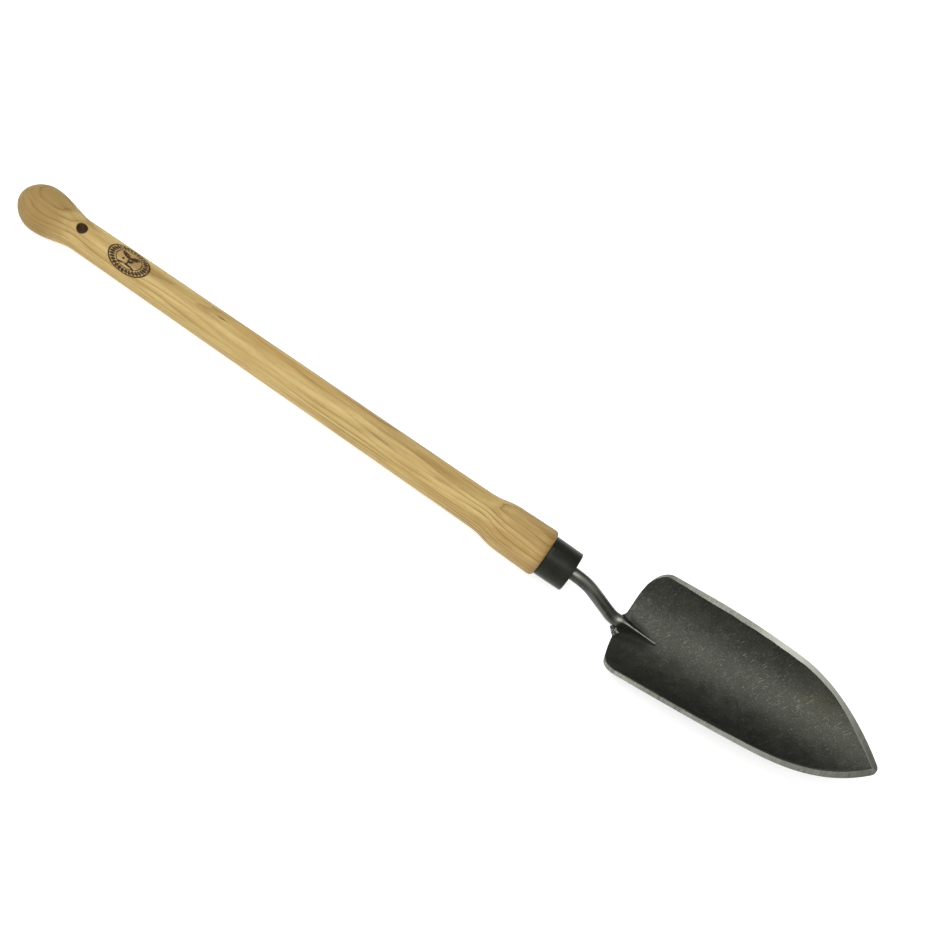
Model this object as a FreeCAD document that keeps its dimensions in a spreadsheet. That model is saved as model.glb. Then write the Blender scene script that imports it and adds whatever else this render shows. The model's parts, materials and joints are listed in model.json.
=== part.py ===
import FreeCAD, Part
import math
import os

import Sketcher
from FreeCAD import Placement, Rotation, Vector

# A hand transplanter: a long turned ash handle, a drawn steel ferrule, a forged
# shank with a bent neck, and a forged trough blade with ground edges.
#
# Millimetres. Every piece is drawn in one of two frames:
#   tool frame   x along the handle's axis from the knob's end, z up on the blade's
#                hollow side, y to the left
#   blade frame  x (called u) along the trough's bottom line from the back edge,
#                z (called w) square to it, origin on the hollow side
# A common placement then lays the whole tool on its knob and heel, on z = 0.

doc = FreeCAD.newDocument("transplanter")

DIMENSIONS = (
    # knob and waist
    ("knob_x", 18.0, "widest place of the knob"),
    ("knob_rad", 15.6, "knob's radius"),
    ("nose_round", 12.6, "knob's blunt end"),
    ("nose_side", 18.96, "curve from the blunt end to the widest place"),
    ("knob_back_round", 46.0, "convex curve behind the knob"),
    ("knob_turn", 14.0, "slope of the taper behind the knob, degrees"),
    ("knob_taper", 10.0, "length of that taper along the axis"),
    ("waist_round", 29.0, "concave curve from the taper to the waist"),
    ("hole_x", 46.0, "hanging hole from the knob's end"),
    ("hole_rad", 3.5, "hanging hole's radius"),
    # shaft and front swell
    ("swell_x", 351.0, "end of the shaft's straight taper"),
    ("swell_rad", 12.9, "radius there"),
    ("swell_hollow", 42.0, "concave curve into the swell"),
    ("swell_crown", 52.0, "convex curve onto the swell"),
    ("swell_turn", 14.7, "slope between the two curves, degrees"),
    ("front_rad", 16.45, "swell's radius at the front"),
    ("front_round", 3.0, "rounding of the front end"),
    ("wood_x", 400.9, "wood's visible length"),
    # spigot, ferrule and bore
    ("spigot_rad", 12.3, "turned spigot under the ferrule"),
    ("spigot_len", 18.2, "spigot's length"),
    ("spigot_bevel", 1.0, "spigot's lead-in"),
    ("ferrule_len", 20.1, "ferrule's length"),
    ("ferrule_back_rad", 13.9, "ferrule's outside radius at the wood"),
    ("ferrule_front_rad", 13.65, "ferrule's outside radius at the cap"),
    ("ferrule_round", 1.0, "rounding between wall and cap"),
    ("ferrule_wall", 1.5, "sheet thickness"),
    ("ferrule_hole_rad", 4.55, "hole in the cap"),
    ("bore_rad", 4.5, "round part of the bore"),
    ("bore_x", 411.5, "where the bore turns square"),
    # shank
    ("rod_rad", 4.45, "neck's radius"),
    ("rod_back_x", 411.7, "start of the round neck"),
    ("tang_x", 326.0, "tang's point"),
    ("tang_point", 4.0, "tang's side at the point"),
    ("tang_root", 6.2, "tang's side at the neck"),
    ("bend_x", 423.5, "start of the first bend"),
    ("bend_round", 25.0, "first bend, at the rod's centre"),
    ("neck_drop", 40.0, "slope of the neck, degrees"),
    ("foot_round", 9.0, "second bend, at the rod's centre"),
    ("foot_sink", 0.25, "rod's bed in the blade's face"),
    # blade
    ("blade_x", 465.6, "back edge, from the knob's end"),
    ("blade_z", -26.4, "back edge, below the handle's axis"),
    ("blade_rise", 12.8, "slope of the trough's bottom, degrees"),
    ("sheet", 3.0, "blade's thickness"),
    ("inner_rad", 41.9, "trough's inside radius"),
    ("outer_rad", 44.9, "trough's outside radius"),
    ("section_turn", 67.0, "half angle of the bent sheet, degrees"),
    ("half_width", 39.45, "half of the blade's width"),
    ("back_set", 0.75, "middle of the back edge, ahead of the frame's origin"),
    ("back_round", 98.0, "back edge's curve"),
    ("corner_round", 14.5, "back corners"),
    ("side_u", 39.0, "end of the straight sides"),
    ("side_round", 870.0, "gentle curve of the sides"),
    ("side_turn", 4.77, "how far the sides turn on it, degrees"),
    ("point_round", 121.2, "curve of the pointed end"),
    ("tip_round", 5.5, "rounding of the tip"),
    ("curl_u", 140.0, "where the point starts to lift"),
    ("curl_round", 420.0, "radius of that lift"),
    ("bevel", 3.55, "width of the ground edge"),
    ("land", 0.4, "edge left below the grinding"),
    # spike
    ("spike_u", 1.15, "where the neck starts to spread into the spike"),
    ("spike_len", 27.4, "end of the spike on the hollow face"),
    # welds, in the blade frame
    ("weld_near_y", 3.4, "both welds' near side, inside the neck's flank"),
    ("weld_front_u", 5.0, "both welds' front end, beside the spike"),
    ("weld_toe_u", 3.2, "front corner of both welds' outer end"),
    ("weld_end_u", 1.1, "back corner of both welds' outer end"),
    ("web_back", 4.9, "web's reach behind the frame's origin"),
    ("web_toe_y", 9.6, "web's front outer corner"),
    ("web_end_y", 10.6, "web's back outer corner"),
    ("web_hollow", 8.2, "hollow curve of the web's back"),
    ("web_bed", 1.2, "web's underside, below the blade's face"),
    ("web_thick", 3.7, "web's full thickness"),
    ("web_round", 1.0, "rounding of the web's top"),
    ("bead_back", 4.2, "bead's reach behind the frame's origin"),
    ("bead_toe_y", 8.6, "bead's front outer corner"),
    ("bead_end_y", 9.4, "bead's back outer corner"),
    ("bead_bed", 1.0, "bead's underside, below the blade's face"),
    ("bead_thick", 3.2, "bead's full thickness"),
    ("run_back", 2.7, "rippled run's start behind the frame's origin"),
    ("run_near_y", 4.6, "rippled run's start, beside the neck"),
    ("run_front_u", 0.9, "rippled run's end, ahead of the frame's origin"),
    ("run_w", 1.2, "rippled run's height above the blade's face"),
    ("bead_rad", 2.1, "largest radius of the rippled run"),
)

sheet = doc.addObject("Spreadsheet::Sheet", "dims")
DIM = {}
for row, (alias, value, note) in enumerate(DIMENSIONS, start=1):
    sheet.set("A%d" % row, note)
    sheet.set("B%d" % row, str(value))
    sheet.setAlias("B%d" % row, alias)
    DIM[alias] = value
doc.recompute()


def formula(text):
    """The text with every dimension's name turned into a reference to its cell."""
    words = []
    word = ""
    for letter in text + " ":
        if letter.isalnum() or letter == "_":
            word += letter
            continue
        words.append("dims." + word if word in DIM else word)
        words.append(letter)
        word = ""
    return "".join(words).strip()


def value_of(text):
    """The number a formula gives now."""
    return float(sheet.evalExpression(formula(text)))


def origin_plane(body, role):
    """One of a body's own origin planes."""
    return next(item for item in body.Origin.OriginFeatures if item.Role == role)


def new_body(label):
    body = doc.addObject("PartDesign::Body", label)
    body.Label = label
    return body


def new_sketch(body, name, role, offset=None):
    """A sketch flat on one of the body's origin planes."""
    sketch = body.newObject("Sketcher::SketchObject", name)
    sketch.AttachmentSupport = [(origin_plane(body, role), "")]
    sketch.MapMode = "FlatFace"
    if offset is not None:
        sketch.AttachmentOffset = offset
    sketch.Visibility = False
    return sketch


def pin_point(sketch, geo, pos, corner):
    """Tie a point of the sketch to its two formulas."""
    for kind, axis, text in (("DistanceX", -2, corner[0]), ("DistanceY", -1, corner[1])):
        if text == "0":
            sketch.addConstraint(Sketcher.Constraint("PointOnObject", geo, pos, axis))
            continue
        index = sketch.addConstraint(Sketcher.Constraint(kind, -1, 1, geo, pos, value_of(text)))
        sketch.setExpression("Constraints[%d]" % index, formula(text))


def arc_between(start, end, radius):
    """The shorter arc; a positive radius has its centre left of the way from start to end."""
    chord = end - start
    middle = (start + end) * 0.5
    side = Vector(-chord.y, chord.x, 0).normalize()
    reach = math.sqrt(max(radius * radius - chord.Length ** 2 / 4, 0))
    rise = abs(radius) - reach
    return Part.Arc(start, middle - side * math.copysign(rise, radius), end)


def draw_chain(sketch, corners, closed=True):
    """Lines and arcs from corner to corner.

    Each corner is (x formula, y formula, radius formula or None for a straight line
    to the next corner, turn: 1 keeps the arc's centre on the left and -1 on the right).
    """
    points = [Vector(value_of(corner[0]), value_of(corner[1]), 0) for corner in corners]
    count = len(corners) if closed else len(corners) - 1
    ends = []
    for index in range(count):
        corner = corners[index]
        start = points[index]
        end = points[(index + 1) % len(points)]
        if corner[2] is None:
            geo = sketch.addGeometry(Part.LineSegment(start, end))
        else:
            geo = sketch.addGeometry(arc_between(start, end, value_of(corner[2]) * corner[3]))
        starts_here = (sketch.getPoint(geo, 1) - start).Length < 1e-6
        ends.append((geo, 1 if starts_here else 2, 2 if starts_here else 1))
    for index in range(count):
        geo, start_pos, end_pos = ends[index]
        pin_point(sketch, geo, start_pos, corners[index])
        if closed or index + 1 < count:
            after = ends[(index + 1) % count]
            sketch.addConstraint(Sketcher.Constraint("Coincident", geo, end_pos, after[0], after[1]))
        else:
            pin_point(sketch, geo, end_pos, corners[-1])
    for index in range(count):
        corner = corners[index]
        if corner[2] is not None:
            radius = Sketcher.Constraint("Radius", ends[index][0], value_of(corner[2]))
            number = sketch.addConstraint(radius)
            sketch.setExpression("Constraints[%d]" % number, formula(corner[2]))


def draw_circle(sketch, x_text, y_text, radius_text):
    centre = Vector(value_of(x_text), value_of(y_text), 0)
    geo = sketch.addGeometry(Part.Circle(centre, Vector(0, 0, 1), value_of(radius_text)))
    pin_point(sketch, geo, 3, (x_text, y_text))
    number = sketch.addConstraint(Sketcher.Constraint("Radius", geo, value_of(radius_text)))
    sketch.setExpression("Constraints[%d]" % number, formula(radius_text))


def revolve(body, name, sketch):
    """Turn a half profile about its own x axis."""
    feature = body.newObject("PartDesign::Revolution", name)
    feature.Profile = sketch
    feature.ReferenceAxis = (sketch, ["H_Axis"])
    feature.Angle = 360
    doc.recompute()
    return feature


def loft(body, name, kind, sketches):
    feature = body.newObject("PartDesign::" + kind, name)
    feature.Profile = sketches[0]
    feature.Sections = sketches[1:]
    feature.Ruled = False
    doc.recompute()
    return feature


def sweep(body, name, profile, path):
    feature = body.newObject("PartDesign::AdditivePipe", name)
    feature.Profile = profile
    feature.Spine = (path, ["Edge%d" % (i + 1) for i in range(path.GeometryCount)])
    doc.recompute()
    return feature


def offset_on_yz(x_text, sketch):
    """Move a sketch on the YZ plane along x."""
    sketch.AttachmentOffset = Placement(Vector(0, 0, value_of(x_text)), Rotation())
    sketch.setExpression("AttachmentOffset.Base.z", formula(x_text))


# ---------------------------------------------------------------- handle

handle = new_body("handle")
profile = new_sketch(handle, "handle_profile", "XZ_Plane")
nose_gap = "(nose_side - nose_round)"
nose_x = "(nose_round - nose_round * (knob_x - nose_round) / %s)" % nose_gap
nose_y = "(nose_round * (nose_side - knob_rad) / %s)" % nose_gap
taper_x = "(knob_x + knob_back_round * sin(knob_turn))"
taper_y = "(knob_rad - knob_back_round * (1 - cos(knob_turn)))"
waist_x = "(%s + knob_taper + waist_round * sin(knob_turn))" % taper_x
waist_y = "(%s - knob_taper * tan(knob_turn) - waist_round * (1 - cos(knob_turn)))" % taper_y
crown_x = "swell_x + (swell_hollow + swell_crown) * sin(swell_turn)"
crown_y = "swell_rad + (swell_hollow + swell_crown) * (1 - cos(swell_turn))"
mid_swell_x = "swell_x + swell_hollow * sin(swell_turn)"
mid_swell_y = "swell_rad + swell_hollow * (1 - cos(swell_turn))"
draw_chain(profile, (
    ("0", "0", "nose_round", -1),
    (nose_x, nose_y, "nose_side", -1),
    ("knob_x", "knob_rad", "knob_back_round", -1),
    (taper_x, taper_y, None, 0),
    (taper_x + " + knob_taper", taper_y + " - knob_taper * tan(knob_turn)", "waist_round", 1),
    (waist_x, waist_y, None, 0),
    ("swell_x", "swell_rad", "swell_hollow", 1),
    (mid_swell_x, mid_swell_y, "swell_crown", -1),
    (crown_x, crown_y, None, 0),
    ("wood_x - front_round", "front_rad", "front_round", -1),
    ("wood_x", "front_rad - front_round", None, 0),
    ("wood_x", "spigot_rad", None, 0),
    ("wood_x + spigot_len - spigot_bevel", "spigot_rad", None, 0),
    ("wood_x + spigot_len", "spigot_rad - spigot_bevel", None, 0),
    ("wood_x + spigot_len", "bore_rad", None, 0),
    ("bore_x", "bore_rad", None, 0),
    ("bore_x", "0", None, 0),
))
revolve(handle, "handle_turned", profile)


def square_section(body, name, x_text, side_text):
    """A square across the handle's axis."""
    sketch = new_sketch(body, name, "YZ_Plane")
    offset_on_yz(x_text, sketch)
    half = "(%s) / 2" % side_text
    draw_chain(sketch, (
        ("-" + half, "-" + half, None, 0),
        (half, "-" + half, None, 0),
        (half, half, None, 0),
        ("-" + half, half, None, 0),
    ))
    return sketch


loft(handle, "tang_bore", "SubtractiveLoft", (
    square_section(handle, "bore_front", "bore_x", "tang_root"),
    square_section(handle, "bore_end", "tang_x", "tang_point"),
))
hole_sketch = new_sketch(handle, "hole_circle", "XY_Plane")
draw_circle(hole_sketch, "hole_x", "0", "hole_rad")
hole = handle.newObject("PartDesign::Pocket", "hanging_hole")
hole.Profile = hole_sketch
hole.Type = "ThroughAll"
hole.Midplane = True
doc.recompute()

# ---------------------------------------------------------------- ferrule

ferrule = new_body("ferrule")
cap = new_sketch(ferrule, "ferrule_profile", "XZ_Plane")
front = "wood_x + ferrule_len"
draw_chain(cap, (
    ("wood_x", "spigot_rad", None, 0),
    ("wood_x", "ferrule_back_rad", None, 0),
    (front + " - ferrule_round", "ferrule_front_rad", "ferrule_round", -1),
    (front, "ferrule_front_rad - ferrule_round", None, 0),
    (front, "ferrule_hole_rad", None, 0),
    (front + " - ferrule_wall", "ferrule_hole_rad", None, 0),
    (front + " - ferrule_wall", "spigot_rad", None, 0),
))
revolve(ferrule, "ferrule_drawn", cap)

# ---------------------------------------------------------------- blade

blade = new_body("blade_blank")
section = new_sketch(blade, "trough_section", "YZ_Plane")
outer_y = "outer_rad * sin(section_turn)"
outer_w = "inner_rad - outer_rad * cos(section_turn)"
inner_y = "inner_rad * sin(section_turn)"
inner_w = "inner_rad - inner_rad * cos(section_turn)"
draw_chain(section, (
    ("-" + outer_y, outer_w, "outer_rad", 1),
    (outer_y, outer_w, None, 0),
    (inner_y, inner_w, "inner_rad", -1),
    ("-" + inner_y, inner_w, None, 0),
))
line = new_sketch(blade, "trough_line", "XZ_Plane")
draw_chain(line, (
    ("0", "0", None, 0),
    ("curl_u", "0", "curl_round", 1),
    ("curl_u + curl_round * sin(8)", "curl_round * (1 - cos(8))", None, 0),
), closed=False)
sweep(blade, "trough", section, line)

# The plan outline is a chain of arcs, each tangent to the next.
corner_y = "(half_width - corner_round)"
centre_u = "(back_set + back_round)"
corner_u = "(%s - sqrt((back_round - corner_round) ^ 2 - %s ^ 2))" % (centre_u, corner_y)
corner_share = "back_round / (back_round - corner_round)"
back_u = "%s - (%s - %s) * %s" % (centre_u, centre_u, corner_u, corner_share)
back_y = "%s * %s" % (corner_y, corner_share)
side_end_u = "(side_u + side_round * sin(side_turn))"
side_end_y = "(half_width - side_round * (1 - cos(side_turn)))"
point_u = "(%s - point_round * sin(side_turn))" % side_end_u
point_y = "(%s - point_round * cos(side_turn))" % side_end_y
tip_reach = "sqrt((point_round - tip_round) ^ 2 - %s ^ 2)" % point_y
tip_share = "point_round / (point_round - tip_round)"
tip_u = "%s + %s * %s" % (point_u, tip_reach, tip_share)
tip_y = "(%s - %s * %s)" % (point_y, point_y, tip_share)

outline = new_sketch(blade, "plan_outline", "XY_Plane")
draw_chain(outline, (
    (back_u, back_y, "back_round", 1),
    (back_u, "-" + back_y, "corner_round", 1),
    (corner_u, "-half_width", None, 0),
    ("side_u", "-half_width", "side_round", 1),
    (side_end_u, "-" + side_end_y, "point_round", 1),
    (tip_u, "-" + tip_y, "tip_round", 1),
    (tip_u, tip_y, "point_round", 1),
    (side_end_u, side_end_y, "side_round", 1),
    ("side_u", "half_width", None, 0),
    (corner_u, "half_width", "corner_round", 1),
))
margin = "(half_width + 20)"
draw_chain(outline, (
    ("-20", "-" + margin, None, 0),
    ("240", "-" + margin, None, 0),
    ("240", margin, None, 0),
    ("-20", margin, None, 0),
))
trim = blade.newObject("PartDesign::Pocket", "plan_trim")
trim.Profile = outline
trim.Type = "ThroughAll"
trim.Midplane = True
doc.recompute()


def curl(u):
    """How far the trough's bottom has lifted at u."""
    run = max(u - DIM["curl_u"], 0)
    return run * run / (2 * DIM["curl_round"])


def inner_height(u, y):
    return DIM["inner_rad"] - math.sqrt(DIM["inner_rad"] ** 2 - y * y) + curl(u)


def outer_height(u, y):
    return DIM["inner_rad"] - math.sqrt(DIM["outer_rad"] ** 2 - y * y) + curl(u)


def edge_point(along, heading):
    """A point of the left edge: u of the straight part, or the heading on an arc (degrees)."""
    turn = math.radians(heading)
    if heading < 0:
        centre_u, centre_y, radius = value_of(corner_u), value_of(corner_y), DIM["corner_round"]
    elif heading == 0:
        return along, DIM["half_width"]
    elif heading <= DIM["side_turn"]:
        centre_u, radius = DIM["side_u"], DIM["side_round"]
        centre_y = DIM["half_width"] - radius
    else:
        centre_u, centre_y, radius = value_of(point_u), value_of(point_y), DIM["point_round"]
    return centre_u + radius * math.sin(turn), centre_y + radius * math.cos(turn)


def grind_station(number, along, heading):
    """A triangle across the left edge; its lowest side is the face left by the grinding."""
    u, y = edge_point(along, heading)
    turn = math.radians(heading)
    raw_width = DIM["sheet"] * abs(y) / DIM["outer_rad"] * math.cos(turn)
    ground = min(max((heading + 35) / 35, 0), 1)
    width = raw_width + (DIM["bevel"] - raw_width) * ground
    edge_w = outer_height(u, y) + DIM["land"] * ground
    bed_w = inner_height(u - width * math.sin(turn), y - width * math.cos(turn))
    slope = (edge_w - bed_w) / width
    out, past, tall = 2.0, 1.2, 12.0
    sketch = new_sketch(blade, "grind_%02d" % number, "YZ_Plane")
    sketch.AttachmentOffset = Placement(Vector(y, 0, u), Rotation(Vector(0, 1, 0), -heading))
    draw_chain(sketch, (
        (str(-width - past), str(bed_w - slope * past), None, 0),
        (str(out), str(edge_w + slope * out), None, 0),
        (str(out), str(edge_w + slope * out + tall), None, 0),
    ))
    return sketch


stations = [(0, heading) for heading in (-72, -60, -48, -36, -24, -12)]
stations += [(value_of(corner_u) + step, 0) for step in (0, 7, 14)]
stations += [(0, DIM["side_turn"] * step / 4) for step in (1, 2, 3, 4)]
stations += [(0, DIM["side_turn"] + 6 * step) for step in range(1, 9)]
triangles = [grind_station(i, along, heading) for i, (along, heading) in enumerate(stations)]
grind = loft(blade, "ground_edge", "SubtractiveLoft", triangles)
mirror = blade.newObject("PartDesign::Mirrored", "ground_edges")
mirror.Originals = [grind]
mirror.MirrorPlane = (origin_plane(blade, "XZ_Plane"), [""])
blade.Tip = mirror
doc.recompute()

# ---------------------------------------------------------------- shank

shank = new_body("shank_blank")
loft(shank, "tang", "AdditiveLoft", (
    square_section(shank, "tang_front", "rod_back_x", "tang_root"),
    square_section(shank, "tang_end", "tang_x", "tang_point"),
))

rest_w = "(rod_rad - foot_sink)"
foot_x = "(blade_x - %s * sin(blade_rise))" % rest_w
foot_z = "(blade_z + %s * cos(blade_rise))" % rest_w
drop_x = "(bend_x + bend_round * sin(neck_drop))"
drop_z = "(bend_round * (cos(neck_drop) - 1))"
crossing = "(((%s - %s) * sin(neck_drop) + (%s - %s) * cos(neck_drop)) / sin(neck_drop + blade_rise))" % (
    drop_x, foot_x, drop_z, foot_z)
meet_x = "(%s + %s * cos(blade_rise))" % (foot_x, crossing)
meet_z = "(%s + %s * sin(blade_rise))" % (foot_z, crossing)
tangent = "(foot_round * tan((neck_drop + blade_rise) / 2))"

neck_line = new_sketch(shank, "neck_line", "XZ_Plane")
draw_chain(neck_line, (
    ("rod_back_x", "0", None, 0),
    ("bend_x", "0", "bend_round", -1),
    (drop_x, drop_z, None, 0),
    ("%s - %s * cos(neck_drop)" % (meet_x, tangent),
     "%s + %s * sin(neck_drop)" % (meet_z, tangent), "foot_round", 1),
    ("%s + %s * cos(blade_rise)" % (meet_x, tangent),
     "%s + %s * sin(blade_rise)" % (meet_z, tangent), None, 0),
    (foot_x + " + (spike_u + 0.3) * cos(blade_rise)",
     foot_z + " + (spike_u + 0.3) * sin(blade_rise)", None, 0),
), closed=False)
neck_round = new_sketch(shank, "neck_round", "YZ_Plane")
offset_on_yz("rod_back_x", neck_round)
draw_circle(neck_round, "0", "0", "rod_rad")
sweep(shank, "neck", neck_round, neck_line)


def spike_section(number, u, half_base, height, crest):
    """A wedge with a rounded crest, across the blade's bottom line, its base in the sheet."""
    rise = math.radians(DIM["blade_rise"])
    sketch = new_sketch(shank, "spike_%d" % number, "YZ_Plane")
    centre = Vector(0, DIM["blade_z"] + u * math.sin(rise), DIM["blade_x"] + u * math.cos(rise))
    sketch.AttachmentOffset = Placement(centre, Rotation(Vector(1, 0, 0), -DIM["blade_rise"]))
    base_w = -0.8
    rise_w = height - crest - base_w
    span = math.hypot(half_base, rise_w)
    lean = math.atan2(rise_w, half_base) - math.asin(crest / span)
    touch_y = crest * math.sin(lean)
    touch_w = height - crest + crest * math.cos(lean)
    draw_chain(sketch, (
        (str(-half_base), str(base_w), None, 0),
        (str(half_base), str(base_w), None, 0),
        (str(touch_y), str(touch_w), str(crest), 1),
        (str(-touch_y), str(touch_w), None, 0),
    ))
    return sketch


# The wedge's sections from the neck to the end: u, half base, height, crest's radius.
rod_top = 2 * DIM["rod_rad"] - DIM["foot_sink"]
spike_steps = (
    (DIM["spike_u"], 7.2, rod_top + 0.1, DIM["rod_rad"] + 0.12),
    (5.6, 6.4, 7.6, 1.2),
    (12.0, 4.6, 5.7, 0.7),
    (20.0, 3.0, 3.7, 0.5),
    (DIM["spike_len"], 1.5, 1.9, 0.4),
)
loft(shank, "spike", "AdditiveLoft",
     [spike_section(i, *step) for i, step in enumerate(spike_steps)])

# ---------------------------------------------------------------- lying at rest

rise = math.radians(DIM["blade_rise"])
blade_frame = Placement(Vector(DIM["blade_x"], 0, DIM["blade_z"]),
                        Rotation(Vector(0, 1, 0), -DIM["blade_rise"]))
heel = blade_frame.multVec(Vector(DIM["back_set"], 0, -DIM["sheet"]))
rest_run = heel.x - DIM["knob_x"]
rest_drop = heel.z - (DIM["nose_side"] - DIM["knob_rad"])
tilt = math.atan2(-rest_drop, rest_run) - math.asin(DIM["nose_side"] / math.hypot(rest_run, rest_drop))
lay = Rotation(Vector(0, 1, 0), -math.degrees(tilt))
floor_z = lay.multVec(heel).z
tip_shape = blade.Shape.copy()
tip_shape.Placement = Placement(Vector(0, 0, 0), lay) * blade_frame
front_x = tip_shape.optimalBoundingBox(False).XMax
back_x = DIM["nose_round"] * (math.cos(tilt) - 1)
tool_frame = Placement(Vector(-(front_x + back_x) / 2, 0, -floor_z), lay)

handle.Placement = tool_frame
ferrule.Placement = tool_frame
shank.Placement = tool_frame
blade.Placement = tool_frame * blade_frame
doc.recompute()

# ---------------------------------------------------------------- welds

web = new_body("web_blank")
web_floor = Placement(Vector(0, 0, -DIM["web_bed"]), Rotation())
web_plan = new_sketch(web, "web_plan", "XY_Plane", web_floor)
draw_chain(web_plan, (
    ("-web_back", "weld_near_y", "web_hollow", -1),
    ("weld_end_u", "web_end_y", None, 0),
    ("weld_toe_u", "web_toe_y", None, 0),
    ("weld_front_u", "weld_near_y", None, 0),
))
web_pad = web.newObject("PartDesign::Pad", "web_pad")
web_pad.Profile = web_plan
web_pad.setExpression("Length", formula("web_thick"))
doc.recompute()
top = max(range(len(web_pad.Shape.Faces)), key=lambda i: web_pad.Shape.Faces[i].CenterOfMass.z)
web_soft = web.newObject("PartDesign::Fillet", "web_soft")
web_soft.Base = (web_pad, ["Face%d" % (top + 1)])
web_soft.setExpression("Radius", formula("web_round"))
web.Placement = tool_frame * blade_frame
doc.recompute()

# The rough bead fills the right-hand corner, with a rippled run along its long side.
bead = new_body("bead_blank")
bead_floor = Placement(Vector(0, 0, -DIM["bead_bed"]), Rotation())
bead_plan = new_sketch(bead, "bead_plan", "XY_Plane", bead_floor)
draw_chain(bead_plan, (
    ("weld_front_u", "-weld_near_y", None, 0),
    ("weld_toe_u", "-bead_toe_y", None, 0),
    ("weld_end_u", "-bead_end_y", None, 0),
    ("-bead_back", "-weld_near_y", None, 0),
))
bead_pad = bead.newObject("PartDesign::Pad", "bead_pad")
bead_pad.Profile = bead_plan
bead_pad.setExpression("Length", formula("bead_thick"))
doc.recompute()
run_start = Vector(-DIM["run_back"], -DIM["run_near_y"], DIM["run_w"])
run_end = Vector(DIM["run_front_u"], -DIM["bead_end_y"], DIM["run_w"])
run_turn = math.degrees(math.atan2(run_end.y - run_start.y, run_end.x - run_start.x))
ripples = new_sketch(bead, "bead_ripples", "XY_Plane",
                     Placement(run_start, Rotation(Vector(0, 0, 1), run_turn)))
RIPPLES = 5
END_ROUND = "bead_rad * 1.1"
RIPPLE_ROUND = "1.0"
pitch = (run_end - run_start).Length / RIPPLES
corners = [("-bead_rad", "0", END_ROUND, -1)]
for step in range(RIPPLES + 1):
    valley = "bead_rad * %.4f" % (0.82 + 0.06 * math.sin(2.4 * step))
    along = str(pitch * step) if step else "0"
    corners.append((along, valley, END_ROUND if step == RIPPLES else RIPPLE_ROUND, -1))
corners.append(("%.4f + bead_rad" % (pitch * RIPPLES), "0", None, 0))
draw_chain(ripples, corners)
revolve(bead, "bead_run", ripples)
bead.Placement = tool_frame * blade_frame
doc.recompute()


def cut_away(label, base, tools):
    """The base less every tool, one after the other."""
    result = base
    for number, tool in enumerate(tools):
        cut = doc.addObject("Part::Cut", "%s_cut_%d" % (label, number))
        cut.Base = result
        cut.Tool = tool
        doc.recompute()
        result = cut
    result.Label = label
    return result


blade.Label = "blade"
tang_neck = cut_away("tang_neck", shank, [blade])
weld_fillet = cut_away("weld_fillet", web, [blade, shank])
weld_bead = cut_away("weld_bead", bead, [blade, shank])

# ---------------------------------------------------------------- write

pieces = (handle, ferrule, blade, tang_neck, weld_fillet, weld_bead)
for item in doc.Objects:
    if "Invalid" in item.State or "Error" in item.State:
        raise RuntimeError("%s: %s" % (item.Label, item.State))
os.makedirs("parts", exist_ok=True)
for item in pieces:
    shape = item.Shape
    if shape.isNull() or not shape.isValid() or not shape.Solids:
        raise RuntimeError("bad shape: " + item.Label)
    shape.exportStep("parts/%s.step" % item.Label)
    box = shape.optimalBoundingBox(False)
    print("%-18s solids %d  volume %9.1f  x %.2f..%.2f  y %.2f..%.2f  z %.2f..%.2f" % (
        item.Label, len(shape.Solids), shape.Volume,
        box.XMin, box.XMax, box.YMin, box.YMax, box.ZMin, box.ZMax))
print("tilt %.4f degrees, shift %.4f %.4f" % (
    math.degrees(tilt), tool_frame.Base.x, tool_frame.Base.z))
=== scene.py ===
import json
import math

import bmesh
import bpy
from mathutils import Matrix, Vector, noise


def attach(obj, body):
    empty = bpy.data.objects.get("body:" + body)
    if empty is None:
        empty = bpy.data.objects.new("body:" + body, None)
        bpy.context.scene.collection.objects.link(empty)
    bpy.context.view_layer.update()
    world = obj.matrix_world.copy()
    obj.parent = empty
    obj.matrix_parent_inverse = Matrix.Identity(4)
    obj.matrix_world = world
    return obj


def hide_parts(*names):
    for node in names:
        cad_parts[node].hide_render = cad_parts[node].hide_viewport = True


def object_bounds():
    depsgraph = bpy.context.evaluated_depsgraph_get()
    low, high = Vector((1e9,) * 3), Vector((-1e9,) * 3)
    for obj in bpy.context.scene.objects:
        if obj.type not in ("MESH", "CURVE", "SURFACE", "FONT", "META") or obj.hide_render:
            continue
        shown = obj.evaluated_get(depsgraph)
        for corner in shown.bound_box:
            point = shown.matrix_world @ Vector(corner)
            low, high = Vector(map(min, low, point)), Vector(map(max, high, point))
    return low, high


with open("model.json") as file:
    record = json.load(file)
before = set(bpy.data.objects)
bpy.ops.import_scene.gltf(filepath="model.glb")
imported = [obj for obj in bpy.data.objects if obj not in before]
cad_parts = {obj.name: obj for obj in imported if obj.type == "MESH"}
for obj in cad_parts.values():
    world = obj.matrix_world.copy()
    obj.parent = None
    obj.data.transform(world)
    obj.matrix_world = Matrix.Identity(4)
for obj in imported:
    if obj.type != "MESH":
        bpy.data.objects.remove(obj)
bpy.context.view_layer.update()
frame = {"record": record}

# -------------------- frames
# Lengths in this script are millimetres until a mesh is made. The tool frame has x along
# the handle's axis from the knob's end, z up on the blade's hollow side; the blade frame
# has u along the trough's bottom from the back edge and w square to it.

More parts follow.
